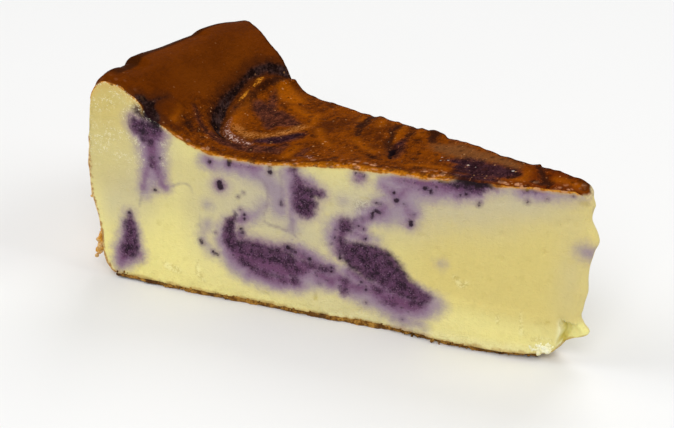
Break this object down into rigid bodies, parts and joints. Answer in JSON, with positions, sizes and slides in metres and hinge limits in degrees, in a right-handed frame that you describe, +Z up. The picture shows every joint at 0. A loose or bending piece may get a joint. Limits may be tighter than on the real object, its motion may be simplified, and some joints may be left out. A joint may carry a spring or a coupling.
{
  "type": "cheesecake slice",
  "caption": "Wedge-shaped slice of baked cheesecake with a browned top, a puffed outer rim, a purple fruit swirl through the cream filling and a thin crumb base.",
  "frame": {"origin": "on the underside, on the slice's centre line, halfway from the tip to the outer wall", "axes": "+X from the outer wall to the tip, +Z up, so the cut that the picture shows faces -Y"},
  "size_m": [0.1287, 0.0639, 0.0541],
  "materials": {
    "cheesecake": "moist matte cream filling with a thin satin browned skin on top",
    "crumb_base": "dry golden-brown crumb"
  },
  "bodies": {
    "root": {"cheesecake": "cheesecake", "crumb_base": "crumb_base"}
  },
  "joints": []
}
